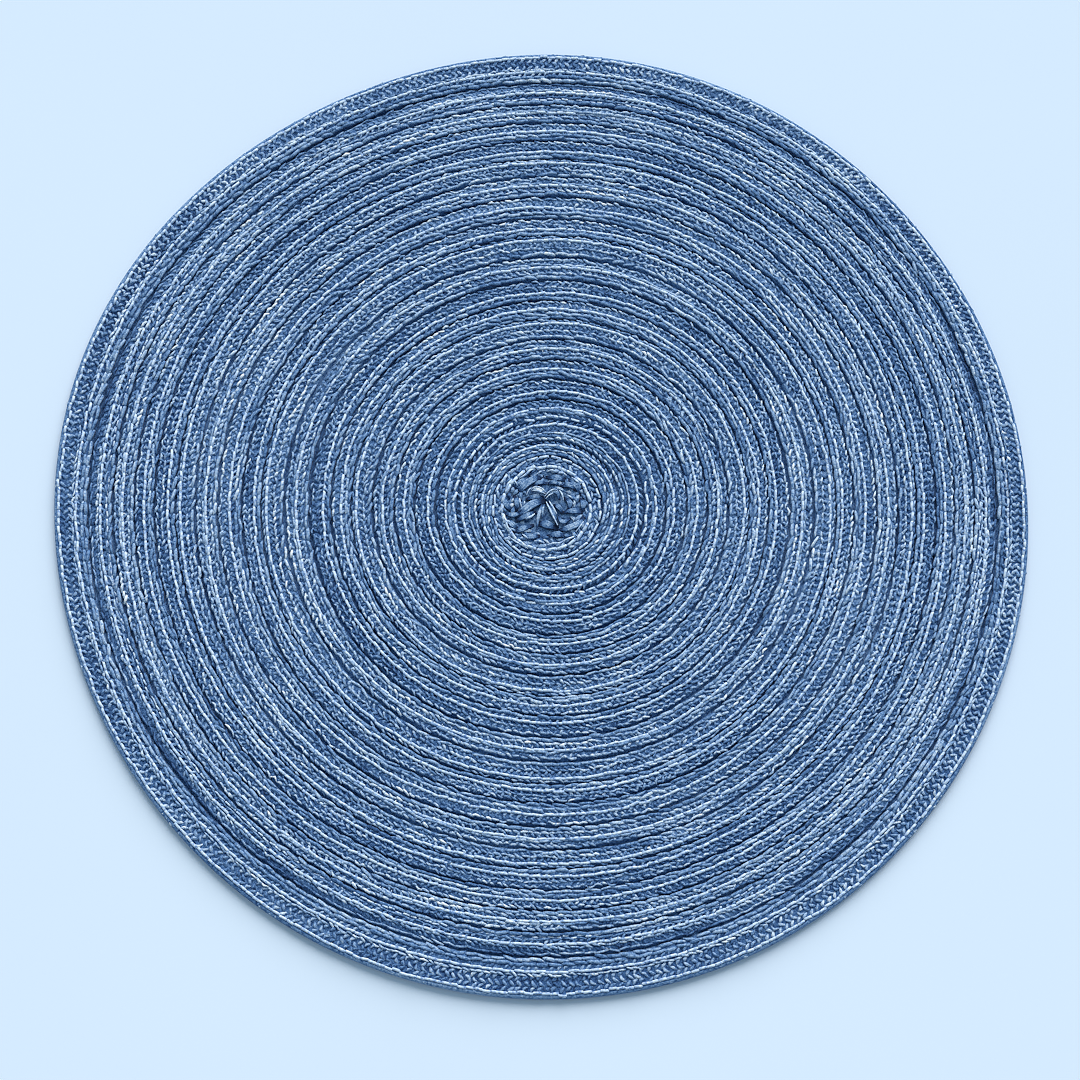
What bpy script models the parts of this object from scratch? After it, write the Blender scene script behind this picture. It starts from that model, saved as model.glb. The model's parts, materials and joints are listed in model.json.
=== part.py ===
"""A round placemat: a flat braided band laid in rounds from the middle to the rim, as one solid.

Metres, +Z up. The mat rests on z = 0 and its box is centred on the Z axis.
"""

import math

import bpy

MM = 0.001

MAT_RADIUS = 190.7 * MM  # mean radius of the outline
# Width of each round (mm), from the rim inwards, as uneven as the band is fed.
ROUND_WIDTHS = (
    13.4, 9.3, 8.0, 7.5, 8.1, 7.4, 8.6, 9.2, 7.2, 9.0,
    9.5, 8.5, 7.6, 8.4, 8.4, 7.7, 8.3, 8.8, 8.5, 5.8,
)
KNOT_RADIUS = MAT_RADIUS - sum(ROUND_WIDTHS) * MM  # what is left is the middle knot
GROOVE_HEIGHT = 2.1 * MM  # floor of the groove between two rounds, from the table
LUMP_HEIGHT = 0.18 * MM  # the crowns rise and fall by this much along a round
FINE_REACH = 90.0 * MM  # outside this radius the rounds take the finer division
FINE_STEPS = 60
COARSE_STEPS = 30

# Half-section of the outer round, from its foot inwards: inset from the outline, height (mm).
EDGE_SECTION = (
    (1.30, 0.00),
    (0.28, 0.80),
    (0.00, 2.00),
    (0.30, 3.20),
    (1.05, 3.75),
    (1.95, 3.20),
    (3.00, 4.25),
    (6.60, 4.25),
    (8.00, 4.10),
    (8.80, 3.70),
    (10.20, 3.80),
    (11.80, 3.75),
)

# Section of one plain round, from its outer groove inwards: share of its width, height (mm).
ROUND_SECTION = (
    (0.00, GROOVE_HEIGHT / MM),
    (0.15, 3.50),
    (0.46, 3.60),
    (0.56, 3.05),
    (0.73, 3.65),
)

# Folds of the outline, as shares of the radius: waves in one turn, cosine and sine part.
OUTLINE_WAVES = (
    (1, -0.0135, -0.0004),
    (2, -0.0028, -0.0037),
    (3, -0.0028, 0.0025),
    (4, 0.0010, -0.0026),
    (5, 0.0007, 0.0014),
)

# Sideways wander of the rounds: waves in one turn, size (mm), turn with radius (1/mm), start.
WANDER_WAVES = (
    (1, 1.30, -0.013, 2.5),
    (2, 0.76, -0.003, 1.6),
    (3, 0.20, -0.011, 5.4),
    (4, 0.18, 0.005, 5.2),
)
WANDER_GROWS = (14.0 * MM, 40.0 * MM)  # from none at the first radius to all at the second
WANDER_FADES = (176.0 * MM, 190.0 * MM)  # and back to none at the rim
KNOT_SHIFT = (-0.9 * MM, -1.6 * MM)  # the first rounds sit a little off the middle

# Soft unevenness of the crowns: waves in one turn, turn with radius (1/mm).
LUMP_WAVES = ((4, 0.31), (9, -0.17))

# Middle knot, inwards: share of its radius, height (mm), size of its folds (mm).
KNOT_SECTION = (
    (1.00, GROOVE_HEIGHT / MM, 0.00),
    (0.91, 3.55, 0.10),
    (0.85, 3.45, 0.10),
    (0.80, 2.55, 0.00),
    (0.69, 3.45, 0.30),
    (0.50, 3.60, 0.55),
    (0.29, 3.70, 0.55),
    (0.12, 3.75, 0.35),
)
KNOT_TOP = 3.3 * MM
KNOT_FOLDS = ((4, 0.6, 0.0), (7, 0.4, 1.9))  # folds in one turn, share of the size, start


def clear_scene():
    for obj in list(bpy.data.objects):
        bpy.data.objects.remove(obj, do_unlink=True)


def eased(value, low, high):
    share = min(1.0, max(0.0, (value - low) / (high - low)))
    return share * share * (3.0 - 2.0 * share)


def outline_share(angle):
    return sum(c * math.cos(n * angle) + s * math.sin(n * angle) for n, c, s in OUTLINE_WAVES)


def placed(radius, angle):
    """The point of the mat's plan at this mean radius and angle round the middle."""
    depth = radius / MAT_RADIUS
    reach = radius * (1.0 + outline_share(angle) * depth)
    grown = eased(radius, *WANDER_GROWS)
    fade = grown * (1.0 - eased(radius, *WANDER_FADES))
    for waves, size, turn, start in WANDER_WAVES:
        reach += fade * size * MM * math.sin(waves * angle + turn * radius / MM + start)
    shift_x, shift_y = [(1.0 - grown) * part for part in KNOT_SHIFT]
    return reach * math.cos(angle) + shift_x, reach * math.sin(angle) + shift_y


def lump(radius, angle):
    """How far the crown stands above or below its section here."""
    waves = [math.sin(n * angle + turn * radius / MM) for n, turn in LUMP_WAVES]
    return LUMP_HEIGHT * sum(waves) / len(waves)


def section_rows():
    """Rows of the top from the foot of the rim to the knot: mean radius, height, fold size."""
    rows = [(MAT_RADIUS - inset * MM, height * MM, 0.0) for inset, height in EDGE_SECTION]
    outer = MAT_RADIUS - ROUND_WIDTHS[0] * MM
    for width in ROUND_WIDTHS[1:]:
        rows += [(outer - share * width * MM, height * MM, 0.0) for share, height in ROUND_SECTION]
        outer -= width * MM
    rows += [(KNOT_RADIUS * share, height * MM, fold * MM) for share, height, fold in KNOT_SECTION]
    return rows


def row_points(radius, height, fold, steps):
    points = []
    for step in range(steps):
        angle = 2.0 * math.pi * step / steps
        x, y = placed(radius, angle)
        z = height
        if fold:
            z += fold * sum(part * math.sin(n * angle + at) for n, part, at in KNOT_FOLDS)
        elif height > GROOVE_HEIGHT:
            z += lump(radius, angle)
        points.append((x, y, z))
    return points


def band_faces(outer, inner):
    """Faces between two rows of point numbers, the inner row as long as the outer or half of it."""
    count = len(inner)
    faces = []
    if len(outer) == count:
        for i in range(count):
            j = (i + 1) % count
            faces.append((outer[i], outer[j], inner[j], inner[i]))
        return faces
    for i in range(count):
        j = (i + 1) % count
        a, b, c = outer[2 * i], outer[2 * i + 1], outer[(2 * i + 2) % len(outer)]
        faces += [(a, b, inner[i]), (b, inner[j], inner[i]), (b, c, inner[j])]
    return faces


def mat_mesh():
    points, rows = [], []
    for radius, height, fold in section_rows():
        steps = FINE_STEPS if radius > FINE_REACH else COARSE_STEPS
        made = row_points(radius, height, fold, steps)
        rows.append(range(len(points), len(points) + steps))
        points += made
    faces = [tuple(reversed(rows[0]))]
    for outer, inner in zip(rows, rows[1:]):
        faces += band_faces(outer, inner)
    top = len(points)
    points.append((*KNOT_SHIFT, KNOT_TOP))
    last = rows[-1]
    faces += [(last[i], last[(i + 1) % len(last)], top) for i in range(len(last))]
    return centred(points), faces


def centred(points):
    """The points moved sideways so that the box of the mat is centred on the Z axis."""
    xs, ys = [p[0] for p in points], [p[1] for p in points]
    mid_x, mid_y = (min(xs) + max(xs)) / 2.0, (min(ys) + max(ys)) / 2.0
    return [(x - mid_x, y - mid_y, z) for x, y, z in points]


def yarn_material():
    material = bpy.data.materials.new("blue_melange_yarn")
    material.use_nodes = True
    shader = material.node_tree.nodes["Principled BSDF"]
    shader.inputs["Base Color"].default_value = (0.105, 0.195, 0.335, 1.0)
    shader.inputs["Roughness"].default_value = 0.92
    shader.inputs["Sheen Weight"].default_value = 0.25
    return material


def build_mat():
    points, faces = mat_mesh()
    mesh = bpy.data.meshes.new("braided_mat")
    mesh.from_pydata(points, [], faces)
    mesh.materials.append(yarn_material())
    for face in mesh.polygons:
        face.use_smooth = len(face.vertices) < 5
    mesh.validate()
    mesh.update()
    mat = bpy.data.objects.new("braided_mat", mesh)
    bpy.context.scene.collection.objects.link(mat)


clear_scene()
build_mat()
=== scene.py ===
import json
import math
import random

import bpy
import numpy as np
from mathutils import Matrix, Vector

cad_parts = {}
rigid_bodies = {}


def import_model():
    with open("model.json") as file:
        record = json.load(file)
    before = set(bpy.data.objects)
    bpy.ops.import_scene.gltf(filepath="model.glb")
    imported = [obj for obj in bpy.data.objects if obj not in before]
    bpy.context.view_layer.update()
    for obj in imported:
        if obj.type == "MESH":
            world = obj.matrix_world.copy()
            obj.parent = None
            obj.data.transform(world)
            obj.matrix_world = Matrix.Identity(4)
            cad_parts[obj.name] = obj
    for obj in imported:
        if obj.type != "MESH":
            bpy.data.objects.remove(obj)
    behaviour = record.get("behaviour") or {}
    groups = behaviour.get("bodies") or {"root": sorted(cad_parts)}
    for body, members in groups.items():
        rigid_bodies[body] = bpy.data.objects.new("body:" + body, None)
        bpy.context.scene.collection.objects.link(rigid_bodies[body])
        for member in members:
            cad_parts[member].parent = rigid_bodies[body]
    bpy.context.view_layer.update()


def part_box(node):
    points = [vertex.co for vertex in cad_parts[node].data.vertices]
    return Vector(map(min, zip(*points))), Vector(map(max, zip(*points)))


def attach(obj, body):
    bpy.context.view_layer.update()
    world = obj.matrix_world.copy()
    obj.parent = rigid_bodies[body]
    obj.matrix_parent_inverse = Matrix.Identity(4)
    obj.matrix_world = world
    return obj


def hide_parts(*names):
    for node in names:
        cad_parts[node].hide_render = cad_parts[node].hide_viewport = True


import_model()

mm = 0.001
matLow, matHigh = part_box("braided_mat")
bpy.ops.object.select_all(action="DESELECT")
print("frame loaded, mat", [round(side / mm, 1) for side in matHigh - matLow], "mm")


# the lie of the band: one flat braid in closed rounds, widest at the rim
band = {
    "matRadius": 190.7 * mm,  # mean radius of the outline
    # width of each round in mm, from the rim inwards, and the style of its braid
    "widths": (
        13.4, 9.3, 8.0, 7.5, 8.1, 7.4, 8.6, 9.2, 7.2, 9.0,
        9.5, 8.5, 7.6, 8.4, 8.4, 7.7, 8.3, 8.8, 8.5, 5.8,
    ),
    "styles": "efbacdbacdbcadbachig",
    # how much lighter or darker each round's dye came out, in hundredths
    "shades": (0, -2, 3, -1, -3, 0, 2, 3, 0, 2, 3, -4, 1, 2, -2, 0, -4, -4, -1, 0),
    # folds of the outline, as shares of the radius: waves in one turn, cosine and sine part
    "outlineWaves": (
        (1, -0.0135, -0.0004),
        (2, -0.0028, -0.0037),
        (3, -0.0028, 0.0025),
        (4, 0.0010, -0.0026),
        (5, 0.0007, 0.0014),
    ),
    # sideways wander of the rounds: waves in one turn, size (mm), turn with radius (1/mm), start
    "wanderWaves": (
        (1, 1.30, -0.013, 2.5),
        (2, 0.76, -0.003, 1.6),
        (3, 0.20, -0.011, 5.4),
        (4, 0.18, 0.005, 5.2),
    ),
    "knotShift": (-0.9 * mm, -1.6 * mm),  # the first rounds sit a little off the middle
    "wanderGrows": (14 * mm, 40 * mm),  # from none at the first radius to all at the second
    "wanderFades": (176 * mm, 190 * mm),  # and back to none at the rim
    "lumpHeight": 0.18 * mm,  # the crowns rise and fall by this much along a round
    "lumpWaves": ((4, 0.31), (9, -0.17)),  # waves in one turn, turn with radius (1/mm)
    "outlinePoints": 60,  # as many as the solid's outline has
}
knotRadius = band["matRadius"] - sum(band["widths"]) * mm


def eased(value, low, high):
    share = min(1.0, max(0.0, (value - low) / (high - low)))
    return share * share * (3 - 2 * share)


def loosePoint(radius, angle):
    # the plan of the mat round its own middle, before it is set in the frame
    swell = sum(
        cosine * math.cos(waves * angle) + sine * math.sin(waves * angle)
        for waves, cosine, sine in band["outlineWaves"]
    )
    reach = radius * (1 + swell * radius / band["matRadius"])
    grown = eased(radius, *band["wanderGrows"])
    fade = grown * (1 - eased(radius, *band["wanderFades"]))
    for waves, size, turn, start in band["wanderWaves"]:
        reach += fade * size * mm * math.sin(waves * angle + turn * radius / mm + start)
    shiftX, shiftY = [(1 - grown) * part for part in band["knotShift"]]
    return reach * math.cos(angle) + shiftX, reach * math.sin(angle) + shiftY


outlinePoints = band["outlinePoints"]
rim = [loosePoint(band["matRadius"], math.tau * i / outlinePoints) for i in range(outlinePoints)]
rimXs = [spot[0] for spot in rim]
rimYs = [spot[1] for spot in rim]
# the eye is where the middle of the rounds comes to lie in the frame
eyeX = (matLow.x + matHigh.x) / 2 - (min(rimXs) + max(rimXs)) / 2
eyeY = (matLow.y + matHigh.y) / 2 - (min(rimYs) + max(rimYs)) / 2


def matPoint(radius, angle):
    x, y = loosePoint(radius, angle)
    return eyeX + x, eyeY + y


def lump(radius, angle):
    rises = [math.sin(waves * angle + turn * radius / mm) for waves, turn in band["lumpWaves"]]
    return band["lumpHeight"] * sum(rises) / len(rises)


def allRounds():
    # each round as its outer radius, width, style and shade, from the rim inwards
    rounds = []
    outer = band["matRadius"]
    for width, style, shade in zip(band["widths"], band["styles"], band["shades"]):
        rounds.append({"outer": outer, "width": width * mm, "style": style, "shade": shade / 100})
        outer -= width * mm
    return rounds


rounds = allRounds()
print("rounds", len(rounds), "knot from", round(knotRadius / mm, 2), "mm")


# the dye: the yarn is melange, so its tone drifts along each round
def dyeWave(seed, steps, reach, parts=8):
    # a closed wavy line of numbers round the mat, about -1 to 1, of up to reach waves in a turn
    pick = random.Random(seed)
    turn = np.arange(steps) * math.tau / steps
    line = np.zeros(steps)
    for _ in range(parts):
        line += np.sin(pick.randint(1, reach) * turn + pick.uniform(0, math.tau))
    return line / math.sqrt(parts)


# what every material is put together from
def newMaterial(name):
    material = bpy.data.materials.new(name)
    material.use_nodes = True
    nodes = material.node_tree.nodes
    shader = nodes["Principled BSDF"]
    return material, nodes, material.node_tree.links, shader


def addNode(nodes, kind, **values):
    node = nodes.new(kind)
    for key, value in values.items():
        setattr(node, key, value)
    return node


yarnShades = {
    0.00: (0.002, 0.014, 0.052),
    0.20: (0.010, 0.048, 0.150),
    0.40: (0.052, 0.140, 0.318),
    0.55: (0.128, 0.254, 0.462),
    0.70: (0.256, 0.400, 0.605),
    0.85: (0.478, 0.622, 0.775),
    1.00: (0.760, 0.850, 0.910),
}


def shadeRamp(nodes, shades):
    ramp = nodes.new("ShaderNodeValToRGB")
    places = sorted(shades)
    ramp.color_ramp.elements[0].position = places[0]
    ramp.color_ramp.elements[-1].position = places[-1]
    for place in places[1:-1]:
        ramp.color_ramp.elements.new(place)
    for element, place in zip(ramp.color_ramp.elements, places):
        element.color = (*shades[place], 1)
    return ramp


def noiseOf(nodes, links, vector, scale, detail=3.0, rough=0.6):
    noise = nodes.new("ShaderNodeTexNoise")
    noise.inputs["Scale"].default_value = scale
    noise.inputs["Detail"].default_value = detail
    noise.inputs["Roughness"].default_value = rough
    links.new(vector, noise.inputs["Vector"])
    return noise.outputs["Fac"]


def ranged(nodes, links, value, reach, result):
    spread = nodes.new("ShaderNodeMapRange")
    for socket, number in zip(("From Min", "From Max", "To Min", "To Max"), (*reach, *result)):
        spread.inputs[socket].default_value = number
    links.new(value, spread.inputs["Value"])
    return spread.outputs["Result"]


def summed(nodes, links, values):
    total = values[0]
    for value in values[1:]:
        add = addNode(nodes, "ShaderNodeMath", operation="ADD")
        links.new(total, add.inputs[0])
        links.new(value, add.inputs[1])
        total = add.outputs["Value"]
    return total


def fromMiddle(nodes, links, value):
    # 0 half way along the UV direction, 1 at either end of it
    shift = addNode(nodes, "ShaderNodeMath", operation="MULTIPLY_ADD")
    shift.inputs[1].default_value = 2
    shift.inputs[2].default_value = -1
    links.new(value, shift.inputs[0])
    size = addNode(nodes, "ShaderNodeMath", operation="ABSOLUTE")
    links.new(shift.outputs["Value"], size.inputs[0])
    return size.outputs["Value"]


def raiseBump(nodes, links, height, strength, depth, shader):
    bump = nodes.new("ShaderNodeBump")
    bump.inputs["Strength"].default_value = strength
    bump.inputs["Distance"].default_value = depth
    links.new(height, bump.inputs["Height"])
    links.new(bump.outputs["Normal"], shader.inputs["Normal"])


yarnLook = {
    "crumple": 1900,  # creases per metre
    "creaseDepth": 0.13 * mm,
    "spotsAndPockets": 820,  # of the melange's dark and light spots, the dark ones also painted shade of pockets between plies, per metre
    "specks": 2600,  # per metre, where no fibres run
    "fibre": (1.6, 4.5, 40),  # how often flecks change along a strand, across it and with its tone
    "fibreRelief": 0.35,  # against a crease's
    # the stretch of each noise that counts, from its darkest to its lightest
    "fleckReach": (0.3, 0.7),
    "creaseReach": (0.36, 0.64),
    "spotAndPocketReach": (0.33, 0.52),
    # what is added to the tone there: by a fleck; by a crease, as painted shade in its hollow and painted
    # light on its crest; by the melange's spots, the dark ones also painted shade of pockets
    "fleck": (-0.095, 0.095),
    "spotAndPocketShade": (-0.155, 0.05),
    # painted shade: where a strand darkens, from its middle at 0 to its side or end at 1, and by how much
    "sideReach": (0.55, 1.0),
    "paintedSideShade": -0.17,
    "endReach": (0.70, 1.0),
    "paintedEndShade": -0.17,  # painted shade at the ends of a leaf or a bead
    # lighter painted shade at the ends of a rope or a cord
    "ropePaintedEndShade": -0.05,
    "roughness": 0.80,
    "sheen": 0.10,
    "gloss": 0.25,
}


def fibreNoise(nodes, links, along, across, tone):
    # long flecks that run down a strand's own map and differ from strand to strand by its tone
    strand = nodes.new("ShaderNodeCombineXYZ")
    links.new(along, strand.inputs["X"])
    links.new(across, strand.inputs["Y"])
    links.new(tone, strand.inputs["Z"])
    drawn = addNode(nodes, "ShaderNodeVectorMath", operation="MULTIPLY")
    drawn.inputs[1].default_value = yarnLook["fibre"]
    links.new(strand.outputs["Vector"], drawn.inputs[0])
    return noiseOf(nodes, links, drawn.outputs["Vector"], 1.0, 2.0)


def yarnMaterial(name, paintedEndShade=None):
    # tone comes from the piece's own attribute, painted crease shade and melange spots with painted pocket
    # shade from its place, and a strand's painted side and end shade from its map
    material, nodes, links, shader = newMaterial(name)
    tone = addNode(nodes, "ShaderNodeAttribute", attribute_name="tone").outputs["Fac"]
    place = nodes.new("ShaderNodeTexCoord")
    here = place.outputs["Object"]
    crease = noiseOf(nodes, links, here, yarnLook["crumple"], 2.0, 0.55)
    # melange spots: the dark ones also stand as painted shade for pockets between plies
    spotAndPocketShade = noiseOf(nodes, links, here, yarnLook["spotsAndPockets"], 2.0)
    # painted shade that darkens a strand towards its sides and ends, from its own map
    edges = []
    if paintedEndShade:
        split = nodes.new("ShaderNodeSeparateXYZ")
        links.new(place.outputs["UV"], split.inputs["Vector"])
        fleck = fibreNoise(nodes, links, split.outputs["X"], split.outputs["Y"], tone)
        side = fromMiddle(nodes, links, split.outputs["Y"])
        end = fromMiddle(nodes, links, split.outputs["X"])
        edges.append(ranged(nodes, links, side, yarnLook["sideReach"], (0, yarnLook["paintedSideShade"])))
        edges.append(ranged(nodes, links, end, yarnLook["endReach"], (0, paintedEndShade)))
    else:
        fleck = noiseOf(nodes, links, here, yarnLook["specks"], 2.0)
    tones = [
        tone,
        ranged(nodes, links, fleck, yarnLook["fleckReach"], yarnLook["fleck"]),
        # painted light and shade: lighter on the bump's crests, darker in its creases
        ranged(nodes, links, crease, yarnLook["creaseReach"], yarnLook["fleck"]),
        ranged(nodes, links, spotAndPocketShade, yarnLook["spotAndPocketReach"], yarnLook["spotAndPocketShade"]),
    ]
    ramp = shadeRamp(nodes, yarnShades)
    links.new(summed(nodes, links, tones + edges), ramp.inputs["Fac"])
    links.new(ramp.outputs["Color"], shader.inputs["Base Color"])
    relief = addNode(nodes, "ShaderNodeMath", operation="MULTIPLY_ADD")
    relief.inputs[1].default_value = yarnLook["fibreRelief"]
    links.new(fleck, relief.inputs[0])
    links.new(crease, relief.inputs[2])
    raiseBump(nodes, links, relief.outputs["Value"], 1.0, yarnLook["creaseDepth"], shader)
    shader.inputs["Roughness"].default_value = yarnLook["roughness"]
    shader.inputs["Sheen Weight"].default_value = yarnLook["sheen"]
    shader.inputs["Specular IOR Level"].default_value = yarnLook["gloss"]
    return material


threadLook = {
    "stains": 900,  # per metre
    "shades": {0.30: (0.08, 0.20, 0.46), 0.42: (0.34, 0.51, 0.76), 0.64: (0.62, 0.77, 0.91)},
    "ply": 2.5,  # scale of the slanted wave over a stitch's map
    "plyStrength": 0.5,
    "plyDepth": 0.06 * mm,
    "roughness": 0.55,
    "sheen": 0.2,
}


def threadMaterial():
    material, nodes, links, shader = newMaterial("whiteSewingThread")
    place = nodes.new("ShaderNodeTexCoord")
    stain = noiseOf(nodes, links, place.outputs["Object"], threadLook["stains"], 3.0, 0.5)
    ramp = shadeRamp(nodes, threadLook["shades"])
    links.new(stain, ramp.inputs["Fac"])
    links.new(ramp.outputs["Color"], shader.inputs["Base Color"])
    ply = addNode(nodes, "ShaderNodeTexWave", bands_direction="DIAGONAL")
    ply.inputs["Scale"].default_value = threadLook["ply"]
    links.new(place.outputs["UV"], ply.inputs["Vector"])
    raiseBump(nodes, links, ply.outputs["Fac"], threadLook["plyStrength"], threadLook["plyDepth"], shader)
    shader.inputs["Roughness"].default_value = threadLook["roughness"]
    shader.inputs["Sheen Weight"].default_value = threadLook["sheen"]
    return material


# strands and ropes get painted shade at their sides and ends, the ground's yarn none
strandYarn = yarnMaterial("melangeBlueStrand", yarnLook["paintedEndShade"])
ropeYarn = yarnMaterial("melangeBlueRope", yarnLook["ropePaintedEndShade"])
groundYarn = yarnMaterial("melangeBlueGround")
sewingThread = threadMaterial()
print("materials made")


# the ground: bed, grooves and rim of the band as one closed sheet, toned darker than the strands on it as
# painted shade between them
ground = {
    "outerSteps": 384,  # points round the mat beyond halfTurn
    "halfTurn": 92 * mm,  # inside this radius, half as many
    "quarterTurn": 40 * mm,  # and inside this one, a quarter
    "dyeSpread": 0.07,  # tone along a round
    "dyeWaves": 9,  # the most in one turn
    "dyeStep": 4,  # mm of radius that share one drift of dye
    "dyeSeed": 50,
    "dyedFrom": 0.3,  # a darker tone than this is painted shade and doesn't drift
    "liftedFrom": 2.2 * mm,  # points higher than this rise and fall with the crowns
    "underInset": 2.2 * mm,  # from the outline to the first row of the underside
    "mapScale": 100,  # units of the map to the metre
    # inset from the outline, height (mm) and tone of the edge round; the tone is painted shade low on the
    # rim's side and in the gaps between strands
    "edge": (
        (1.30, 0.00, 0.26), (0.75, 0.18, 0.27), (0.30, 0.70, 0.30), (0.05, 1.40, 0.36), (0.00, 2.10, 0.43),
        (0.12, 2.75, 0.48), (0.42, 3.20, 0.50), (0.85, 3.40, 0.50), (1.25, 3.35, 0.46), (1.65, 3.15, 0.34),
        (2.00, 3.05, 0.30), (3.20, 3.15, 0.33), (5.00, 3.15, 0.33), (6.60, 3.12, 0.32), (8.40, 3.20, 0.34),
        (9.60, 3.20, 0.34), (12.2, 3.15, 0.36), (12.9, 2.10, 0.36),
    ),
    # share of the width, height (mm) and tone of a plain round; the tone is painted shade in the gaps
    # between strands, darkest in the dip at 0.52
    "plain": (
        (0.00, 1.20, 0.38), (0.04, 1.70, 0.39), (0.10, 2.45, 0.38), (0.18, 2.90, 0.38), (0.44, 2.85, 0.38),
        (0.52, 2.60, 0.30), (0.60, 2.75, 0.36), (0.72, 2.85, 0.36), (0.90, 2.90, 0.38), (0.96, 1.90, 0.36),
    ),
    # share of the knot's radius, height (mm) and tone, darkest as painted shade in the groove round the
    # knot
    "knot": (
        (1.00, 2.10, 0.20), (0.96, 2.50, 0.30), (0.91, 2.75, 0.36), (0.82, 2.75, 0.36), (0.78, 2.60, 0.34),
        (0.70, 2.45, 0.44), (0.45, 2.40, 0.44), (0.20, 2.40, 0.44), (0.06, 2.40, 0.44),
    ),
    # the underside: share of a round's width, height (mm) and tone, darker as painted shade where it rises
    # off the floor
    "under": (
        (0.00, 0.45, 0.10), (0.16, 0.06, 0.50), (0.44, 0.04, 0.55), (0.57, 0.25, 0.35), (0.75, 0.00, 0.58),
    ),
    # the knot's underside: share of its radius, height (mm) and tone
    "underKnot": ((0.8, 0.1, 0.45), (0.3, 0.1, 0.45)),
}


def topRows():
    rows = [(band["matRadius"] - inset * mm, z * mm, tone) for inset, z, tone in ground["edge"]]
    for each in rounds[1:]:
        for share, z, tone in ground["plain"]:
            rows.append((each["outer"] - share * each["width"], z * mm, tone + each["shade"]))
    return rows + [(share * knotRadius, z * mm, tone) for share, z, tone in ground["knot"]]


def underRows():
    rows = []
    for each in rounds:
        for share, z, tone in ground["under"]:
            radius = each["outer"] - share * each["width"]
            if radius < band["matRadius"] - ground["underInset"]:
                rows.append((radius, z * mm, tone))
    return rows + [(share * knotRadius, z * mm, tone) for share, z, tone in ground["underKnot"]]


def stepsAt(radius, most):
    if radius > ground["halfTurn"]:
        return most
    return most // 2 if radius > ground["quarterTurn"] else most // 4


def joinRows(outer, inner):
    # faces between two rings of point numbers, the inner as long as the outer or half of it
    count = len(inner)
    faces = []
    for i in range(count):
        j = (i + 1) % count
        if len(outer) == count:
            faces.append((outer[i], outer[j], inner[j], inner[i]))
        else:
            a, b, c = outer[2 * i], outer[2 * i + 1], outer[(2 * i + 2) % len(outer)]
            faces += [(a, b, inner[i]), (b, inner[j], inner[i]), (b, c, inner[j])]
    return faces


def makeGround():
    points, tones, turns, reaches = [], [], [], []

    def addRing(row, most):
        radius, height, tone = row
        steps = stepsAt(radius, most)
        drift = dyeWave(int(radius / mm / ground["dyeStep"]) + ground["dyeSeed"], steps, ground["dyeWaves"])
        first = len(points)
        for i in range(steps):
            angle = math.tau * i / steps
            x, y = matPoint(radius, angle)
            lift = lump(radius, angle) if height > ground["liftedFrom"] else 0
            points.append((x, y, height + lift))
            tones.append(tone + ground["dyeSpread"] * drift[i] * (tone > ground["dyedFrom"]))
            turns.append(i / steps)
            reaches.append(radius)
        return range(first, first + steps)

    faces = []
    top = [addRing(row, ground["outerSteps"]) for row in topRows()]
    for outer, inner in zip(top, top[1:]):
        faces += joinRows(outer, inner)
    faces.append(tuple(top[-1]))
    under = [addRing(row, ground["outerSteps"] // 2) for row in underRows()]
    for outer, inner in zip([top[0]] + under, under):
        faces += [tuple(reversed(face)) for face in joinRows(outer, inner)]
    faces.append(tuple(reversed(under[-1])))
    mesh = bpy.data.meshes.new("matGround")
    mesh.from_pydata(points, [], faces)
    mesh.validate()
    piece = bpy.data.objects.new("matGround", mesh)
    bpy.context.collection.objects.link(piece)
    mesh.attributes.new("tone", "FLOAT", "POINT").data.foreach_set("value", tones)
    # the map runs along the rounds and across them, and a face that closes a ring ends it
    uv = mesh.uv_layers.new(name="UVMap").data
    scale = ground["mapScale"]
    for face in mesh.polygons:
        spots = [mesh.loops[i].vertex_index for i in face.loop_indices]
        late = max(turns[spot] for spot in spots) > 0.75
        for i, spot in zip(face.loop_indices, spots):
            turn = turns[spot] + (late and turns[spot] < 0.25)
            uv[i].uv = (turn * math.tau * reaches[spot] * scale, reaches[spot] * scale)
    mesh.shade_smooth()
    mesh.materials.append(groundYarn)
    return piece


matGround = makeGround()
print("ground", len(matGround.data.polygons), "faces")


# one strand of each kind, modelled once by extruding a small section along it
strands = {
    # length, width and height in mm, the stations along it (share of length, of width, of height)
    # and how it is laid where the column says nothing else
    "leaf": {"size": (3.2, 1.34, 0.74), "stations": ((0, 0.45, 0.30), (0.42, 1.0, 1.0), (1, 0.40, 0.25))},
    "bead": {
        "size": (3.5, 1.20, 0.88),
        "stations": ((0, 0.62, 0.50), (0.45, 1.06, 1.0), (1, 0.62, 0.50)),
        "lay": {"turn": -9, "sway": 0.17},
    },
    "tie": {"size": (1.5, 0.50, 0.60), "stations": ((0, 0.70, 0.40), (0.5, 1.0, 1.0), (1, 0.70, 0.40))},
    "rope": {
        "size": (5.9, 1.60, 0.90),
        "stations": ((0, 0.60, 0.50), (0.25, 0.98, 0.97), (0.70, 1.0, 1.0), (1, 0.60, 0.50)),
        "lay": {"turn": -3, "spread": 0.03},
    },
    "cord": {
        "size": (5.4, 1.05, 0.80),
        "stations": ((0, 0.65, 0.50), (0.45, 1.0, 1.0), (1, 0.65, 0.50)),
        "lay": {"turn": -3, "spread": 0.03},
    },
    "stitch": {
        "size": (4.4, 1.25, 0.84),
        "stations": ((0, 0.82, 0.62), (0.13, 1.0, 0.97), (0.85, 1.0, 1.0), (1, 0.82, 0.62)),
        "lay": {"bow": 0.15, "sway": 0.06},
    },
}
# the square section they share: its half width at the root and at the top, as shares of the width,
# and its depth under the bed as a share of the height
strandSection = {"rootHalf": 0.5, "topHalf": 0.33, "root": 0.35}


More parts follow.
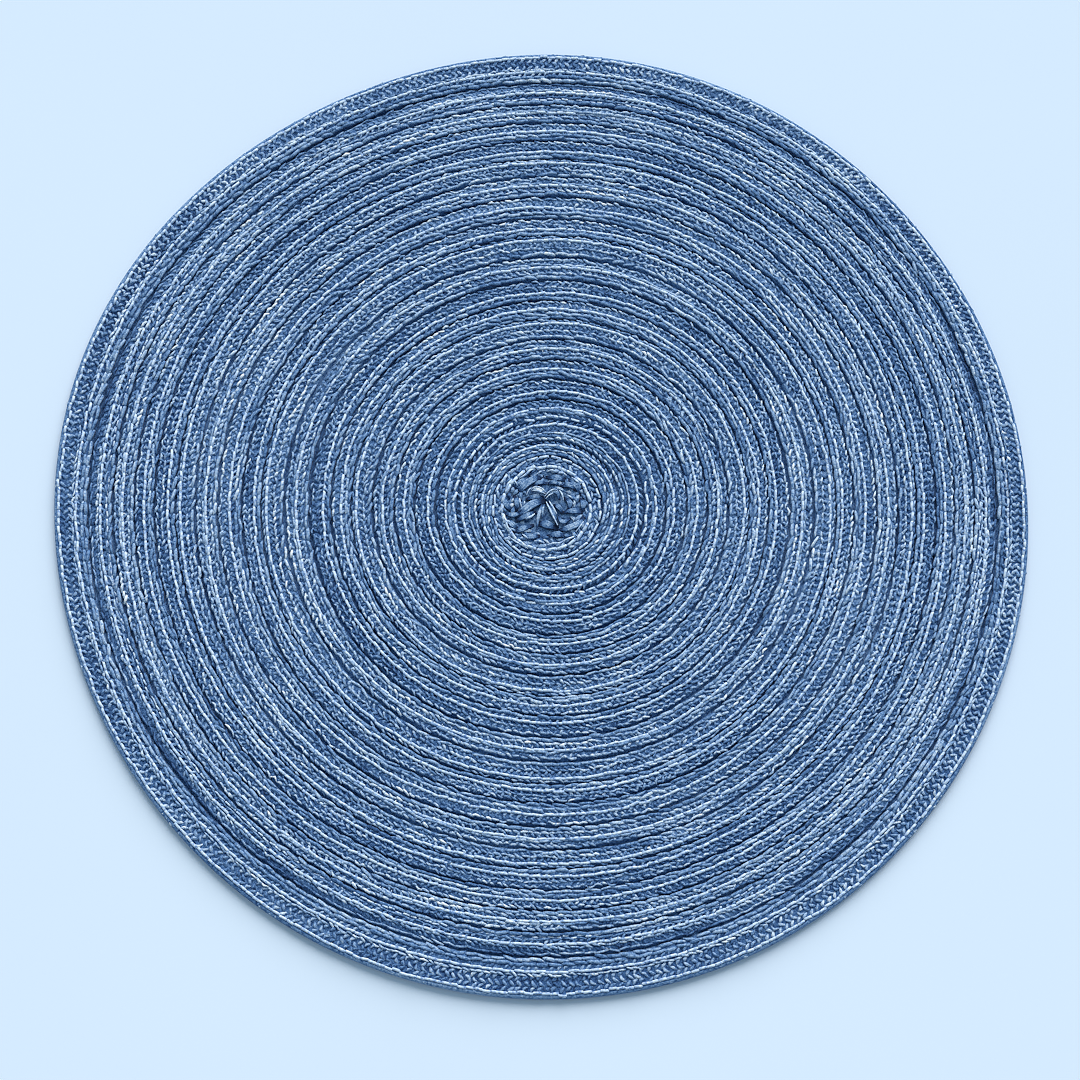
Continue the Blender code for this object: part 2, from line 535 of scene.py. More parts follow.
def modelStrand(kind):
    length, width, height = [side * mm for side in strands[kind]["size"]]
    stations = strands[kind]["stations"]
    root = -strandSection["root"] * height
    # a square section stood across the strand, its top corners drawn in
    bpy.ops.mesh.primitive_plane_add(size=1, rotation=(0, math.pi / 2, 0))
    strand = bpy.context.object
    strand.name = kind
    bpy.ops.object.transform_apply(location=True, rotation=True, scale=True)
    for corner in strand.data.vertices:
        high = corner.co.z > 0
        half = strandSection["topHalf" if high else "rootHalf"]
        corner.co.y = math.copysign(width * half, corner.co.y)
        corner.co.z = height if high else root
    bpy.ops.object.mode_set(mode="EDIT")
    bpy.ops.mesh.select_all(action="SELECT")
    base = (0, 0, root)
    _, wide, tall = stations[0]
    bpy.ops.transform.translate(value=(-length / 2, 0, 0))
    bpy.ops.transform.resize(value=(1, wide, tall), center_override=base)
    for (lastShare, lastWide, lastTall), (share, wide, tall) in zip(stations, stations[1:]):
        step = (share - lastShare) * length
        bpy.ops.mesh.extrude_region_move(TRANSFORM_OT_translate={"value": (step, 0, 0)})
        bpy.ops.transform.resize(value=(1, wide / lastWide, tall / lastTall), center_override=base)
    bpy.ops.mesh.select_all(action="SELECT")
    bpy.ops.mesh.normals_make_consistent(inside=False)
    bpy.ops.object.mode_set(mode="OBJECT")
    mesh = strand.data
    uv = mesh.uv_layers[0]
    for loop in mesh.loops:
        spot = mesh.vertices[loop.vertex_index].co
        uv.data[loop.index].uv = (spot.x / length + 0.5, spot.y / width + 0.5)
    mesh.attributes.new("tone", "FLOAT", "POINT")
    mesh.shade_smooth()
    return strand


patterns = {kind: modelStrand(kind) for kind in strands}
print("strands modelled", {kind: len(piece.data.vertices) for kind, piece in patterns.items()})


# laying a strand round the mat: an array bent along the round's own curve
def roundCurve(radius, start, steps=240):
    curve = bpy.data.curves.new("lay", "CURVE")
    curve.dimensions = "3D"
    curve.twist_mode = "Z_UP"
    spline = curve.splines.new("POLY")
    spline.points.add(steps - 1)
    spots = [matPoint(radius, start + math.tau * i / steps) for i in range(steps)]
    for point, (x, y) in zip(spline.points, spots):
        point.co = (x, y, 0, 1)
    spline.use_cyclic_u = True
    lay = bpy.data.objects.new("lay", curve)
    bpy.context.collection.objects.link(lay)
    length = sum(math.dist(a, b) for a, b in zip(spots, spots[1:] + spots[:1]))
    return lay, length


handMade = {
    "turn": 0,  # slant to the round, degrees
    "tone": 0.55,
    "size": (1, 1, 1),  # against the pattern's length, width and height
    "sway": 0.11,  # how unevenly the copies are turned, sized and set
    "spread": 0.07,  # tone from copy to copy
    "drift": 0.11,  # tone along the round
    "bow": 0.0,  # sideways curl, mm
    "sunk": 0.0,  # share of the round where the strand is drawn down into the braid
}
# how far a copy strays, for each whole unit of its sway
stray = {
    "slant": 60,  # degrees
    "along": 1.2,  # mm, as the next three
    "across": 0.9,
    "lift": 0.7,
    "point": 0.25,  # each point by itself
}
curl = {
    "least": 0.25,  # spread of the sideways curl, mm
    "share": 0.4,  # and the share of a strand's bow that is added to it
}
# a strand is drawn down where a closed wave is high, and its dye drifts along another
sink = {
    "depth": 0.6,  # mm
    "waves": 17,  # the most in one turn
    "reach": 1.6,  # the wave's height
    "seed": 3,
}
dye = {
    "waves": 26,  # the most in one turn
    "seed": 7,
}


def layStrand(kind, radius, height, pitch, seed, **more):
    how = {**handMade, **strands[kind].get("lay", {}), **more}
    sway = how["sway"]
    pick = np.random.RandomState(seed)
    start = pick.uniform(0, math.tau)
    lay, length = roundCurve(radius, start)
    count = max(5, round(length / (pitch * mm)))
    step = length / count
    piece = patterns[kind].copy()
    piece.data = patterns[kind].data.copy()
    bpy.context.collection.objects.link(piece)
    many = len(piece.data.vertices)
    array = piece.modifiers.new("repeat", "ARRAY")
    array.count = count
    array.use_relative_offset = False
    array.use_constant_offset = True
    array.constant_offset_displace = (step, 0, 0)
    bend = piece.modifiers.new("bend", "CURVE")
    bend.object = lay
    bpy.context.view_layer.objects.active = piece
    bpy.ops.object.modifier_apply(modifier="repeat")
    mesh = piece.data
    spots = np.empty(count * many * 3, np.float32)
    mesh.vertices.foreach_get("co", spots)
    spots = spots.reshape(count, many, 3)
    homes = np.arange(count) * step
    spots[:, :, 0] -= homes[:, None]
    # every copy is sized, curled, turned and set a little differently, as a fed braid is
    grow = 1 + pick.uniform(-sway, sway, (count, 3))
    spots *= (grow * np.array(how["size"]))[:, None, :]
    half = strands[kind]["size"][0] * mm / 2
    bows = pick.normal(how["bow"], curl["least"] + abs(how["bow"]) * curl["share"], count) * mm
    spots[:, :, 1] += bows[:, None] * (1 - (spots[:, :, 0] / half) ** 2)
    slant = np.radians(how["turn"] + pick.normal(0, stray["slant"] * sway, count))
    cos, sin = np.cos(slant)[:, None], np.sin(slant)[:, None]
    x, y = spots[:, :, 0].copy(), spots[:, :, 1].copy()
    along = homes + pick.normal(0, stray["along"] * sway * mm, count)
    spots[:, :, 0] = x * cos - y * sin + along[:, None]
    spots[:, :, 1] = x * sin + y * cos + pick.normal(0, stray["across"] * sway * mm, count)[:, None]
    angles = start + math.tau * homes / length
    lift = np.array([lump(radius, angle) for angle in angles])
    lift += pick.normal(0, stray["lift"] * sway * mm, count)
    if how["sunk"]:
        drawnDown = np.interp(how["sunk"], (0, 1), (sink["reach"], -sink["reach"]))
        lift -= sink["depth"] * mm * (dyeWave(seed + sink["seed"], count, sink["waves"]) > drawnDown)
    spots[:, :, 2] += (height * mm + lift)[:, None]
    spots += pick.normal(0, stray["point"] * sway * mm, spots.shape)
    mesh.vertices.foreach_set("co", spots.reshape(-1))
    tones = how["tone"] + how["drift"] * dyeWave(seed + dye["seed"], count, dye["waves"])
    tones += pick.normal(0, how["spread"], count)
    mesh.attributes["tone"].data.foreach_set("value", np.repeat(tones, many).astype(np.float32))
    bpy.ops.object.modifier_apply(modifier="bend")
    bpy.data.objects.remove(lay)
    return piece


# what lies across each style of round, outermost first: kind, place (mm from the outline in the
# outer round's own style "e", else a share of the width), height and pitch in mm, how it is laid
columns = {
    "e": (
        ("bead", 0.86, 2.62, 2.45, {"tone": 0.66, "size": (0.74, 0.86, 0.8), "sway": 0.03, "drift": 0.14}),
        ("stitch", 1.80, 3.10, 3.15, {"size": (0.76, 1, 1)}),
        ("leaf", 3.20, 3.15, 2.76, {"turn": 46, "tone": 0.60, "bow": 0.3, "size": (1.02, 1.15, 1)}),
        ("leaf", 4.90, 3.15, 2.76, {"turn": -46, "tone": 0.59, "bow": -0.3, "size": (1.02, 1.15, 1)}),
        ("leaf", 6.45, 3.15, 2.76, {"turn": 46, "tone": 0.59, "bow": 0.3, "size": (0.95, 1.15, 1)}),
        ("bead", 7.55, 3.20, 2.67, {"tone": 0.69, "size": (1, 0.9, 1)}),
        ("stitch", 8.60, 3.20, 4.1, {"sunk": 0.10}),
        ("leaf", 9.75, 3.15, 2.81, {"turn": 45, "tone": 0.52, "size": (0.9, 1, 1)}),
        ("rope", 10.9, 3.10, 4.9, {"tone": 0.58}),
        ("rope", 12.3, 2.90, 4.9, {"tone": 0.60, "sway": 0.10}),
    ),
    "f": (
        ("cord", 0.105, 2.60, 4.4, {"tone": 0.52, "sway": 0.12, "drift": 0.16}),
        ("leaf", 0.245, 2.72, 2.57, {"turn": -50, "tone": 0.49}),
        ("bead", 0.370, 2.95, 2.62, {"tone": 0.69}),
        ("stitch", 0.480, 3.00, 4.15, {"sunk": 0.10}),
        ("leaf", 0.590, 2.78, 2.69, {"turn": 48, "tone": 0.57}),
        ("cord", 0.685, 2.80, 4.7, {"tone": 0.58}),
        ("stitch", 0.770, 2.80, 2.9, {"sway": 0.10, "sunk": 0.45, "size": (0.62, 0.7, 0.9)}),
        ("rope", 0.890, 2.75, 5.0, {"tone": 0.60, "sway": 0.10}),
    ),
    "a": (
        ("bead", 0.125, 2.75, 2.56, {"tone": 0.69, "size": (0.9, 0.9, 1)}),
        ("leaf", 0.260, 2.75, 2.67, {"turn": -46, "tone": 0.52, "size": (0.85, 1, 1)}),
        ("leaf", 0.385, 2.75, 2.67, {"turn": 46, "tone": 0.53, "size": (0.85, 1, 1)}),
        ("stitch", 0.495, 2.90, 4.1, {"sunk": 0.10}),
        ("leaf", 0.620, 2.75, 2.63, {"turn": -46, "tone": 0.53}),
        ("rope", 0.750, 2.82, 4.7, {"tone": 0.63, "sway": 0.12, "size": (1, 0.9, 1)}),
        ("rope", 0.905, 2.65, 5.1, {"tone": 0.55, "size": (1, 0.8, 1)}),
    ),
    "b": (
        ("bead", 0.135, 2.80, 2.67, {"tone": 0.67}),
        ("leaf", 0.250, 2.75, 2.63, {"turn": 46, "tone": 0.53, "size": (0.85, 1, 1)}),
        ("rope", 0.360, 2.82, 4.4, {"tone": 0.60, "size": (0.9, 0.8, 1)}),
        ("stitch", 0.455, 2.90, 4.05, {"sunk": 0.15}),
        ("tie", 0.540, 2.60, 4.0, {"turn": 90, "tone": 0.72}),
        ("leaf", 0.600, 2.75, 2.63, {"turn": -50, "tone": 0.52}),
        ("bead", 0.715, 2.85, 2.73, {"tone": 0.67}),
        ("rope", 0.880, 2.75, 4.8, {"tone": 0.58, "sway": 0.10}),
    ),
    "c": (
        ("bead", 0.130, 2.75, 2.67, {"tone": 0.69, "bow": 0.3, "size": (0.9, 0.85, 1)}),
        ("leaf", 0.255, 2.75, 2.57, {"turn": 50, "tone": 0.51}),
        ("bead", 0.385, 2.80, 2.67, {"tone": 0.61, "size": (0.9, 0.9, 0.9)}),
        ("leaf", 0.500, 2.70, 2.63, {"turn": -48, "tone": 0.51}),
        ("stitch", 0.640, 2.90, 4.1, {"sunk": 0.10}),
        ("leaf", 0.755, 2.72, 2.63, {"turn": 46, "tone": 0.55}),
        ("rope", 0.885, 2.75, 4.9, {"tone": 0.59, "sway": 0.10}),
    ),
    "d": (
        ("bead", 0.110, 2.65, 2.56, {"tone": 0.58, "size": (0.9, 0.85, 1)}),
        ("stitch", 0.235, 2.90, 4.0, {"sunk": 0.15}),
        ("leaf", 0.355, 2.75, 2.63, {"turn": -46, "tone": 0.52, "size": (0.85, 1, 1)}),
        ("leaf", 0.475, 2.75, 2.63, {"turn": 46, "tone": 0.51, "size": (0.85, 1, 1)}),
        ("bead", 0.590, 2.80, 2.67, {"tone": 0.67}),
        ("leaf", 0.710, 2.72, 2.63, {"turn": -46, "tone": 0.53}),
        ("rope", 0.860, 2.68, 4.6, {"tone": 0.64, "sway": 0.14, "size": (0.9, 0.85, 1)}),
    ),
    "h": (
        ("bead", 0.130, 2.70, 2.56, {"tone": 0.61, "size": (0.9, 0.9, 1)}),
        ("leaf", 0.240, 2.75, 2.57, {"turn": -46, "tone": 0.50}),
        ("leaf", 0.345, 2.75, 2.69, {"turn": 48, "tone": 0.52}),
        ("stitch", 0.445, 2.90, 4.3, {"sway": 0.08, "sunk": 0.18}),
        ("rope", 0.575, 2.75, 4.7, {"tone": 0.56, "sway": 0.07}),
        ("leaf", 0.700, 2.70, 2.57, {"turn": -45, "tone": 0.50}),
        ("stitch", 0.835, 2.80, 4.6, {"sway": 0.12, "sunk": 0.50}),
    ),
    "i": (
        ("leaf", 0.100, 2.70, 2.69, {"turn": 40, "tone": 0.46}),
        ("stitch", 0.210, 2.90, 4.2, {"sway": 0.08, "sunk": 0.15}),
        ("leaf", 0.330, 2.75, 2.57, {"turn": -46, "tone": 0.52}),
        ("leaf", 0.450, 2.75, 2.63, {"turn": 44, "tone": 0.50}),
        ("rope", 0.590, 2.85, 4.6, {"tone": 0.68, "sway": 0.08, "size": (0.95, 0.65, 1)}),
        ("rope", 0.720, 2.70, 4.7, {"tone": 0.50, "sway": 0.07, "size": (0.98, 1, 1)}),
        ("bead", 0.855, 2.85, 2.73, {"tone": 0.74, "sway": 0.09, "size": (0.85, 0.95, 1)}),
    ),
    "g": (
        ("leaf", 0.100, 2.60, 2.46, {"turn": -34, "tone": 0.50, "size": (0.85, 1, 1)}),
        ("stitch", 0.270, 2.80, 4.4, {"sunk": 0.20, "size": (1, 0.95, 1)}),
        ("rope", 0.455, 2.65, 4.4, {"tone": 0.52, "sway": 0.07, "size": (0.92, 0.9, 1)}),
        ("bead", 0.640, 2.75, 2.83, {"tone": 0.71, "sway": 0.10, "size": (0.9, 0.9, 1)}),
        ("rope", 0.860, 2.60, 4.3, {"tone": 0.52, "sway": 0.07, "size": (0.9, 0.95, 1)}),
    ),
}
# the start of the band: a narrow round between two rings of thread, then the whorls of the knot,
# as kind, radius, height and pitch in mm, how it is laid
knotColumns = (
    ("stitch", 20.8, 2.80, 4.6, {"sway": 0.09, "size": (0.96, 0.9, 1.0), "sunk": 0.45}),
    ("leaf", 19.6, 2.70, 2.69, {"turn": 32, "tone": 0.56, "sway": 0.2}),
    ("leaf", 18.4, 2.70, 2.69, {"turn": -28, "tone": 0.56, "sway": 0.2}),
    ("stitch", 17.2, 2.90, 4.2, {"sway": 0.10, "size": (0.94, 1.2, 1.1), "sunk": 0.14}),
    ("leaf", 15.6, 2.55, 2.81, {"turn": 28, "tone": 0.58, "sway": 0.3, "size": (1.1, 1.3, 1)}),
    ("leaf", 13.4, 2.40, 2.81, {"turn": -35, "tone": 0.56, "sway": 0.3, "size": (1.2, 1.4, 1)}),
    ("leaf", 11.2, 2.35, 2.81, {"turn": 40, "tone": 0.55, "sway": 0.3, "size": (1.2, 1.4, 1)}),
)


seeds = {"band": 1000, "round": 37, "column": 5, "knot": 3000, "knotColumn": 7}
innerThread = {"fromRound": 15, "width": 0.94}  # it is thinner in the inner rounds, rim being 0


def layRounds():
    laid = []
    for number, each in enumerate(rounds):
        for place, (kind, at, height, pitch, more) in enumerate(columns[each["style"]]):
            radius = each["outer"] - (at * mm if each["style"] == "e" else at * each["width"])
            if kind != "stitch":
                more = {**more, "tone": more["tone"] + each["shade"]}
            elif number >= innerThread["fromRound"]:
                long, wide, high = more.get("size", (1, 1, 1))
                more = {**more, "size": (long, innerThread["width"] * wide, high)}
            seed = seeds["band"] + seeds["round"] * number + seeds["column"] * place
            laid.append((kind, number, layStrand(kind, radius, height, pitch, seed, **more)))
    for place, (kind, radius, height, pitch, more) in enumerate(knotColumns):
        seed = seeds["knot"] + seeds["knotColumn"] * place
        laid.append((kind, len(rounds), layStrand(kind, radius * mm, height, pitch, seed, **more)))
    return laid


def joined(pieces, name, material):
    bpy.ops.object.select_all(action="DESELECT")
    for piece in pieces:
        piece.select_set(True)
    bpy.context.view_layer.objects.active = pieces[0]
    bpy.ops.object.join()
    whole = bpy.context.object
    whole.name = name
    whole.data.name = name
    whole.data.materials.clear()
    whole.data.materials.append(material)
    return whole


def trianglesOf(piece):
    return sum(len(face.vertices) - 2 for face in piece.data.polygons)


laid = layRounds()
for pattern in patterns.values():
    bpy.data.objects.remove(pattern)
print("strands laid", len(laid), "turns")


def ofKind(kinds, first=0, last=len(rounds)):
    return [piece for kind, number, piece in laid if kind in kinds and first <= number <= last]


outerLeaves = joined(ofKind(("leaf",), 0, 4), "outerLeaves", strandYarn)
middleLeaves = joined(ofKind(("leaf",), 5, 9), "middleLeaves", strandYarn)
innerLeaves = joined(ofKind(("leaf",), 10), "innerLeaves", strandYarn)
beads = joined(ofKind(("bead",)), "paleBeads", strandYarn)
ties = joined(ofKind(("tie",)), "crossTies", strandYarn)
ropes = joined(ofKind(("rope", "cord")), "rolledEdges", ropeYarn)
stitches = joined(ofKind(("stitch",)), "sewingStitches", sewingThread)
dressing = [outerLeaves, middleLeaves, innerLeaves, beads, ties, ropes, stitches]


# the knot: the hand-folded start of the band, strand by strand
knot = {
    "heart": (-1.3, 1.3),  # where the folds meet, in mm from the middle of the rounds
    "bed": 2.7,  # height that the folds lie on, mm
    "dip": 0.6,  # how far their ends go down into it, mm
    "endSize": 0.5,  # of an end, against the rest
    "foldThickness": 0.52,  # against the width
    "threadThickness": 0.8,
    # full white, for the thread ends and for the painted highlights on fold edges
    "threadTone": 1.0,
    # painted light and shade of a fold: tone added on its crest over the fold's own, taken away in a crease
    # under it, and where between them it darkens
    "paintedCrestLight": 0.05,
    "paintedCreaseShade": 0.66,
    "creaseFrom": 0.18,
    "creaseDepth": 0.9,  # mm
    # paths in mm from the heart, width, height of the top over the bed, tone
    "folds": (
        (((-10.8, 3.2), (-8.6, 5.8), (-5.2, 8.4), (-0.4, 10.0)), 3.0, 1.35, 0.58),
        (((-12.6, 5.4), (-9.8, 7.6), (-6.0, 10.6)), 2.0, 1.20, 0.60),
        (((0.2, 9.8), (4.6, 9.4), (8.8, 8.6)), 2.6, 1.20, 0.56),
        (((8.2, 9.2), (12.0, 6.6), (14.2, 2.2)), 2.8, 1.20, 0.58),
        (((1.0, 7.0), (3.6, 7.6), (5.6, 6.0)), 1.8, 1.35, 0.60),
        (((-4.6, 5.6), (-2.4, 7.4), (0.6, 7.2)), 1.8, 1.35, 0.56),
        (((6.0, 5.8), (9.4, 6.4), (12.4, 4.2)), 2.2, 1.35, 0.58),
        (((-16.6, 2.6), (-15.4, -1.2), (-12.8, -4.2)), 2.4, 1.30, 0.55),
        (((-12.2, 2.4), (-11.0, -0.8), (-11.6, -4.2)), 2.4, 1.35, 0.56),
        (((-16.0, -4.8), (-12.4, -5.8), (-9.2, -4.4)), 1.9, 1.45, 0.60),
        (((-14.6, -7.2), (-13.0, -9.4), (-10.6, -11.2)), 2.4, 1.20, 0.64),
        (((-12.4, -12.6), (-9.0, -11.4), (-4.4, -9.6)), 2.4, 1.35, 0.58),
        (((-9.2, -13.8), (-5.6, -14.4), (-2.0, -14.0)), 2.4, 1.20, 0.60),
        (((0.6, -14.2), (4.6, -13.6), (8.8, -14.0)), 2.6, 1.20, 0.56),
        (((5.2, -11.9), (9.0, -11.0), (12.8, -9.2), (15.2, -6.0)), 2.5, 1.40, 0.60),
        (((-3.4, -9.0), (0.6, -9.6), (5.0, -11.2)), 3.4, 1.45, 0.60),
        (((7.2, 1.4), (9.6, -0.8), (8.8, -4.0)), 2.2, 1.35, 0.56),
        (((6.8, -4.6), (10.8, -4.2), (14.6, -4.9)), 2.2, 1.45, 0.58),
        (((5.0, -6.0), (6.8, -8.6), (9.8, -7.0)), 1.7, 1.55, 0.60),
        (((13.6, 1.2), (14.8, -1.6), (14.4, -4.4)), 2.2, 1.25, 0.56),
        (((-0.6, 1.2), (-3.6, 1.6), (-7.6, 0.6)), 2.2, 1.65, 0.60),
        (((0.2, 0.0), (-4.4, -1.2), (-8.0, -3.8), (-11.8, -6.6)), 3.4, 1.85, 0.60),
        (((-3.4, -4.4), (-7.2, -6.0), (-11.4, -8.2)), 2.3, 1.55, 0.62),
        (((-1.2, -1.4), (-2.4, -5.4), (-3.4, -11.8)), 1.3, 1.75, 0.68),
        (((-0.4, -1.4), (-1.0, -4.0), (-1.2, -7.2)), 1.0, 1.80, 0.66),
        (((2.2, 5.4), (5.6, 4.8), (8.6, 3.0)), 1.1, 1.75, 0.66),
        (((3.2, -1.6), (5.2, -2.6), (6.8, -5.2)), 2.0, 1.55, 0.54),
        (((0.9, -0.4), (2.6, -4.4), (5.0, -10.4)), 2.0, 1.90, 0.58),
        (((0.0, 1.4), (2.2, 3.2), (4.2, 3.4), (5.6, 0.2)), 1.7, 2.05, 0.62),
        (((-5.4, 4.0), (-3.8, 4.5), (-1.6, 3.9), (0.3, 2.8)), 2.2, 2.50, 0.88),
    ),
    # loose ends of white thread, and white strands along folded edges as painted highlights
    "glints": (
        (((0.4, -0.7), (2.0, -4.4), (4.8, -10.0)), 0.80, 2.40),
        (((1.5, -0.3), (2.9, -2.9), (4.4, -5.4)), 0.85, 2.30),
        (((-0.2, 1.5), (1.8, 3.4), (3.8, 4.2), (5.0, 3.6)), 0.60, 2.60),
        (((0.2, 0.6), (1.6, 1.9), (3.2, 2.7)), 0.50, 2.55),
        (((-5.6, 4.2), (-3.8, 5.2), (-1.4, 4.5), (0.3, 3.0)), 0.50, 2.65),
        (((-5.4, 3.7), (-3.6, 3.7), (-1.6, 3.1), (0.1, 2.5)), 0.45, 2.60),
        (((5.4, 4.2), (6.5, 2.4), (7.1, 0.0)), 0.75, 2.30),
        (((-7.6, -7.4), (-6.0, -6.9), (-4.2, -5.4)), 1.00, 2.00),
        (((8.6, 2.2), (9.6, 1.6), (10.6, 1.0)), 0.65, 1.75),
        (((11.2, 0.0), (11.5, -1.0), (11.3, -2.4)), 0.65, 1.75),
        (((-10.0, 1.0), (-9.8, -0.8), (-9.2, -2.8)), 0.65, 1.80),
        (((-8.2, -0.4), (-8.1, -1.0), (-8.3, -1.9)), 0.65, 1.80),
        (((-10.2, 9.2), (-7.6, 10.6), (-6.0, 12.2), (-4.2, 13.0)), 0.85, 1.60),
        (((-4.0, 10.4), (-2.0, 11.6), (-0.2, 12.4)), 0.55, 1.50),
        (((0.8, 12.0), (2.6, 12.3), (4.6, 11.6)), 0.75, 1.60),
        (((5.4, 11.4), (7.0, 11.1), (8.4, 10.3)), 0.80, 1.60),
        (((10.4, 9.6), (12.2, 8.0), (13.8, 6.8)), 0.75, 1.60),
        (((14.8, 6.0), (15.7, 4.8), (16.4, 3.2)), 0.70, 1.50),
        (((-15.6, 3.8), (-14.6, 6.6), (-13.0, 8.8)), 0.90, 1.60),
        (((-12.2, 8.4), (-11.6, 7.4), (-10.8, 6.4)), 0.70, 1.60),
        (((-7.4, 2.2), (-6.4, 4.2), (-5.2, 5.4)), 0.50, 1.70),
        (((-17.0, -5.0), (-15.4, -8.0), (-14.7, -10.8), (-13.0, -12.4)), 0.80, 1.60),
        (((-14.4, -14.4), (-11.2, -16.8), (-6.8, -19.2)), 0.70, 1.40),
        (((-8.8, -13.6), (-8.0, -14.4), (-6.8, -15.2)), 0.80, 1.70),
        (((-4.2, -16.2), (-2.4, -16.4), (-0.4, -17.0)), 0.75, 1.50),
        (((1.0, -17.7), (3.2, -17.3), (5.6, -17.2), (6.8, -16.2)), 0.80, 1.50),
        (((6.8, -16.2), (9.0, -15.5), (12.4, -13.9)), 0.85, 1.50),
        (((12.0, -12.4), (13.4, -10.8), (14.8, -8.4)), 0.60, 1.60),
    ),
    # the section of a fold, a flat bundle of three plies: shares of its width and thickness
    "plies": (
        (-0.50, 0.00), (-0.49, 0.45), (-0.43, 0.84), (-0.31, 0.98), (-0.20, 0.80),
        (-0.10, 1.00), (0.00, 0.88), (0.10, 1.00), (0.20, 0.80), (0.31, 0.98),
        (0.43, 0.84), (0.49, 0.45), (0.50, 0.00), (0.00, -0.15),
    ),
    "thread": (
        (-0.50, 0.30), (-0.35, 0.80), (0.00, 1.00), (0.35, 0.80), (0.50, 0.30),
        (0.30, -0.15), (-0.30, -0.15),
    ),
}


def strandProfile(section, width, thick):
    curve = bpy.data.curves.new("profile", "CURVE")
    curve.dimensions = "2D"
    spline = curve.splines.new("POLY")
    spline.points.add(len(section) - 1)
    for point, (across, up) in zip(spline.points, section):
        point.co = (across * width, up * thick, 0, 1)
    spline.use_cyclic_u = True
    profile = bpy.data.objects.new("profile", curve)
    bpy.context.collection.objects.link(profile)
    return profile


def creaseShadeShare(depth):
    # share of the painted crease shade: 0 on a fold's crest, 1 deep in the crease beside it
    return max(0, min(1, depth / (knot["creaseDepth"] * mm) - knot["creaseFrom"]))


def foldedStrand(path, width, rise, tone, section, flat):
    thick = width * flat * mm
    curve = bpy.data.curves.new("fold", "CURVE")
    curve.dimensions = "3D"
    curve.twist_mode = "Z_UP"
    curve.resolution_u = 6
    curve.bevel_mode = "OBJECT"
    curve.bevel_object = strandProfile(knot[section], width * mm, thick)
    curve.use_fill_caps = True
    spline = curve.splines.new("BEZIER")
    spline.bezier_points.add(len(path) - 1)
    top = (knot["bed"] + rise) * mm
    heartX, heartY = eyeX + knot["heart"][0] * mm, eyeY + knot["heart"][1] * mm
    for i, (point, (x, y)) in enumerate(zip(spline.bezier_points, path)):
        end = i in (0, len(path) - 1)
        dip = knot["dip"] * mm if end else 0
        point.co = (heartX + x * mm, heartY + y * mm, top - thick - dip)
        point.handle_left_type = point.handle_right_type = "AUTO"
        point.radius = knot["endSize"] if end else 1.0
    fold = bpy.data.objects.new("fold", curve)
    bpy.context.collection.objects.link(fold)
    bpy.ops.object.select_all(action="DESELECT")
    fold.select_set(True)
    bpy.context.view_layer.objects.active = fold
    bpy.ops.object.convert(target="MESH")
    fold = bpy.context.object
    mesh = fold.data
    # painted light and shade: lighter on the crest, darker the lower a point lies under it
    crest = tone + knot["paintedCrestLight"]
    tones = [crest - knot["paintedCreaseShade"] * creaseShadeShare(top - vertex.co.z) for vertex in mesh.vertices]
    mesh.attributes.new("tone", "FLOAT", "POINT").data.foreach_set("value", tones)
    mesh.shade_smooth()
    return fold


def makeKnot():
    folds, glints = [], []
    for path, width, rise, tone in knot["folds"]:
        folds.append(foldedStrand(path, width, rise, tone, "plies", knot["foldThickness"]))
    for path, width, rise in knot["glints"]:
        thick = knot["threadThickness"]
        glints.append(foldedStrand(path, width, rise, knot["threadTone"], "thread", thick))
    for profile in [thing for thing in bpy.data.objects if thing.name.startswith("profile")]:
        bpy.data.objects.remove(profile)
    return joined(folds, "knotFolds", groundYarn), joined(glints, "knotThread", sewingThread)


dressing += makeKnot()
pieces = [matGround] + dressing
for piece in pieces:
    print(piece.name, trianglesOf(piece), "triangles")
print("in all", sum(trianglesOf(piece) for piece in pieces), "triangles")

for piece in pieces:
    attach(piece, "root")
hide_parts("braided_mat")


# floor, light and camera
view = {
    "floorSize": 6.0,
    "floorShade": (0.665, 0.805, 0.940),
    "floorPatches": 2.5,  # per metre
    "patchShade": 0.985,  # against the floor's
    "tilt": 15.0,  # degrees from straight down
    "distance": 1.064,
    "lens": 91.07,
    "sensor": 36,
    "nearest": 0.05,  # what the camera still sees
    "aim": (-3.36 * mm, -14.5 * mm, 3 * mm),  # from the eye of the mat
    "crispness": 0.23,
    "screenGamma": 2.2,
}


def makeFloor():
    bpy.ops.mesh.primitive_plane_add(size=view["floorSize"], location=(0, 0, 0))
    floor = bpy.context.object
    floor.name = "tableTop"
    material, nodes, links, shader = newMaterial("paleBlueTable")
    place = nodes.new("ShaderNodeTexCoord")
    patchShade = [view["patchShade"] * part for part in view["floorShade"]]
    ramp = shadeRamp(nodes, {0.35: patchShade, 0.65: view["floorShade"]})
    links.new(noiseOf(nodes, links, place.outputs["Object"], view["floorPatches"]), ramp.inputs["Fac"])
    links.new(ramp.outputs["Color"], shader.inputs["Base Color"])
    shader.inputs["Roughness"].default_value = 0.9
    shader.inputs["Specular IOR Level"].default_value = 0.1
    floor.data.materials.append(material)
    return floor


floor = makeFloor()

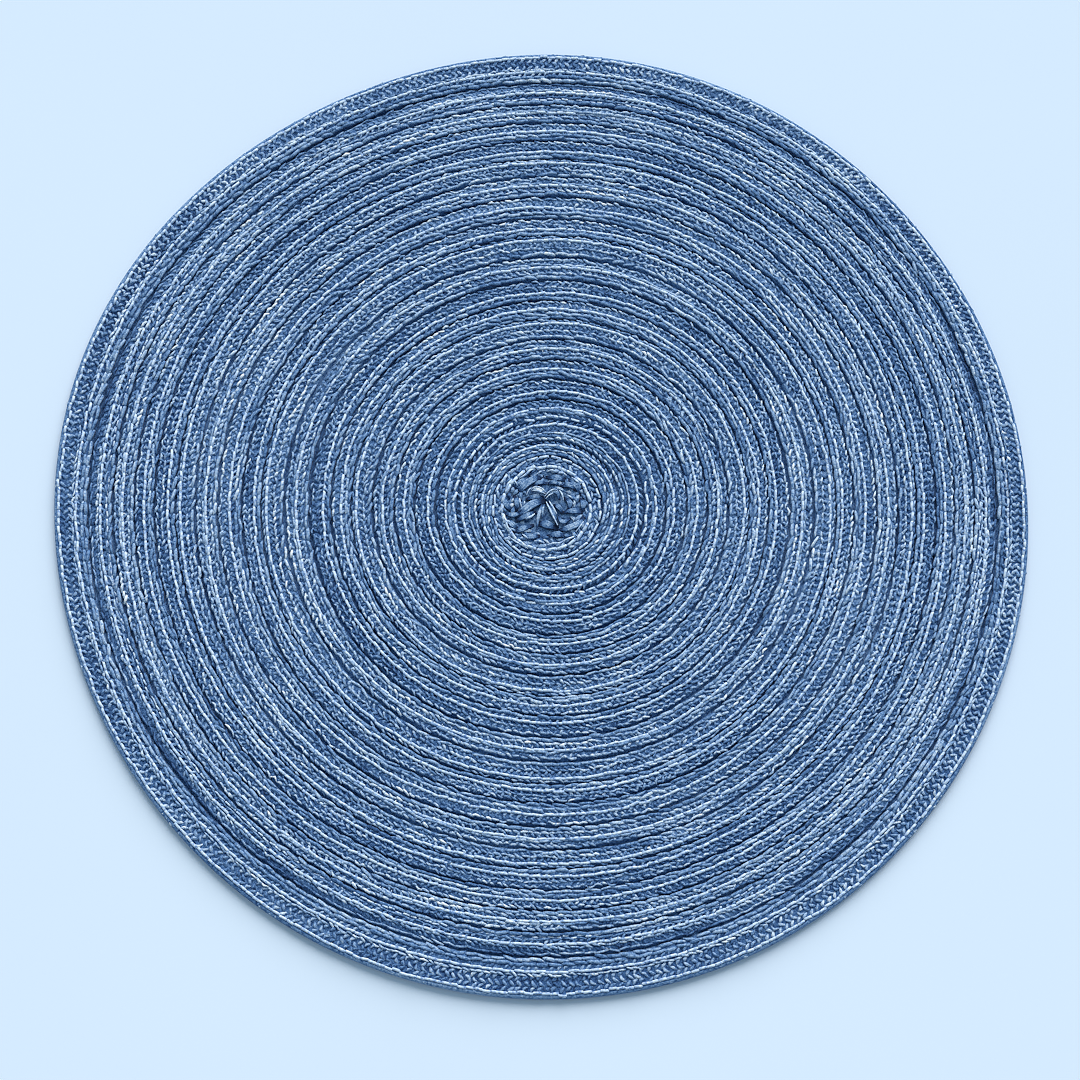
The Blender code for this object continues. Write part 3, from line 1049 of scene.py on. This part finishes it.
lights = {
    "keyFrom": (0.25, 1.0, 0.70),
    "keySoftness": 55,  # degrees across, as a wide diffuser
    "keyShade": (1.0, 0.93, 0.91),
    "keyStrength": 3.80,
    "roomShade": (0.74, 0.92, 1.04),
    "roomStrength": 0.44,
}
lamp = bpy.data.lights.new("keyFromFarSide", "SUN")
lamp.angle = math.radians(lights["keySoftness"])
lamp.color = lights["keyShade"]
lamp.energy = lights["keyStrength"]
key = bpy.data.objects.new("keyFromFarSide", lamp)
bpy.context.collection.objects.link(key)
key.location = lights["keyFrom"]
key.rotation_euler = key.location.to_track_quat("Z", "Y").to_euler()

world = bpy.data.worlds.new("softRoom")
world.use_nodes = True
room = world.node_tree.nodes["Background"]
room.inputs["Color"].default_value = (*lights["roomShade"], 1)
room.inputs["Strength"].default_value = lights["roomStrength"]
bpy.context.scene.world = world
bpy.context.scene.view_settings.view_transform = "Standard"

lens = bpy.data.cameras.new("photoView")
lens.lens = view["lens"]
lens.sensor_width = view["sensor"]
lens.clip_start = view["nearest"]
camera = bpy.data.objects.new("photoView", lens)
bpy.context.collection.objects.link(camera)
tilt = math.radians(view["tilt"])
aimX, aimY, aimZ = view["aim"]
camera.location = (
    eyeX + aimX,
    eyeY + aimY - view["distance"] * math.sin(tilt),
    aimZ + view["distance"] * math.cos(tilt),
)
camera.rotation_euler = (tilt, 0, 0)
bpy.context.scene.camera = camera

# the picture is sharpened a little in the tones that the eye sees, as a product shot is
scene = bpy.context.scene
scene.use_nodes = True
treat = scene.node_tree.nodes
treat.clear()
picture = treat.new("CompositorNodeRLayers")
toEye = treat.new("CompositorNodeGamma")
toEye.inputs["Gamma"].default_value = 1 / view["screenGamma"]
crisp = treat.new("CompositorNodeFilter")
crisp.filter_type = "SHARPEN_DIAMOND"
crisp.inputs["Fac"].default_value = view["crispness"]
toLight = treat.new("CompositorNodeGamma")
toLight.inputs["Gamma"].default_value = view["screenGamma"]
final = treat.new("CompositorNodeComposite")
steps = [picture, toEye, crisp, toLight, final]
for first, second in zip(steps, steps[1:]):
    scene.node_tree.links.new(first.outputs["Image"], second.inputs["Image"])
print("floor, light and camera set")
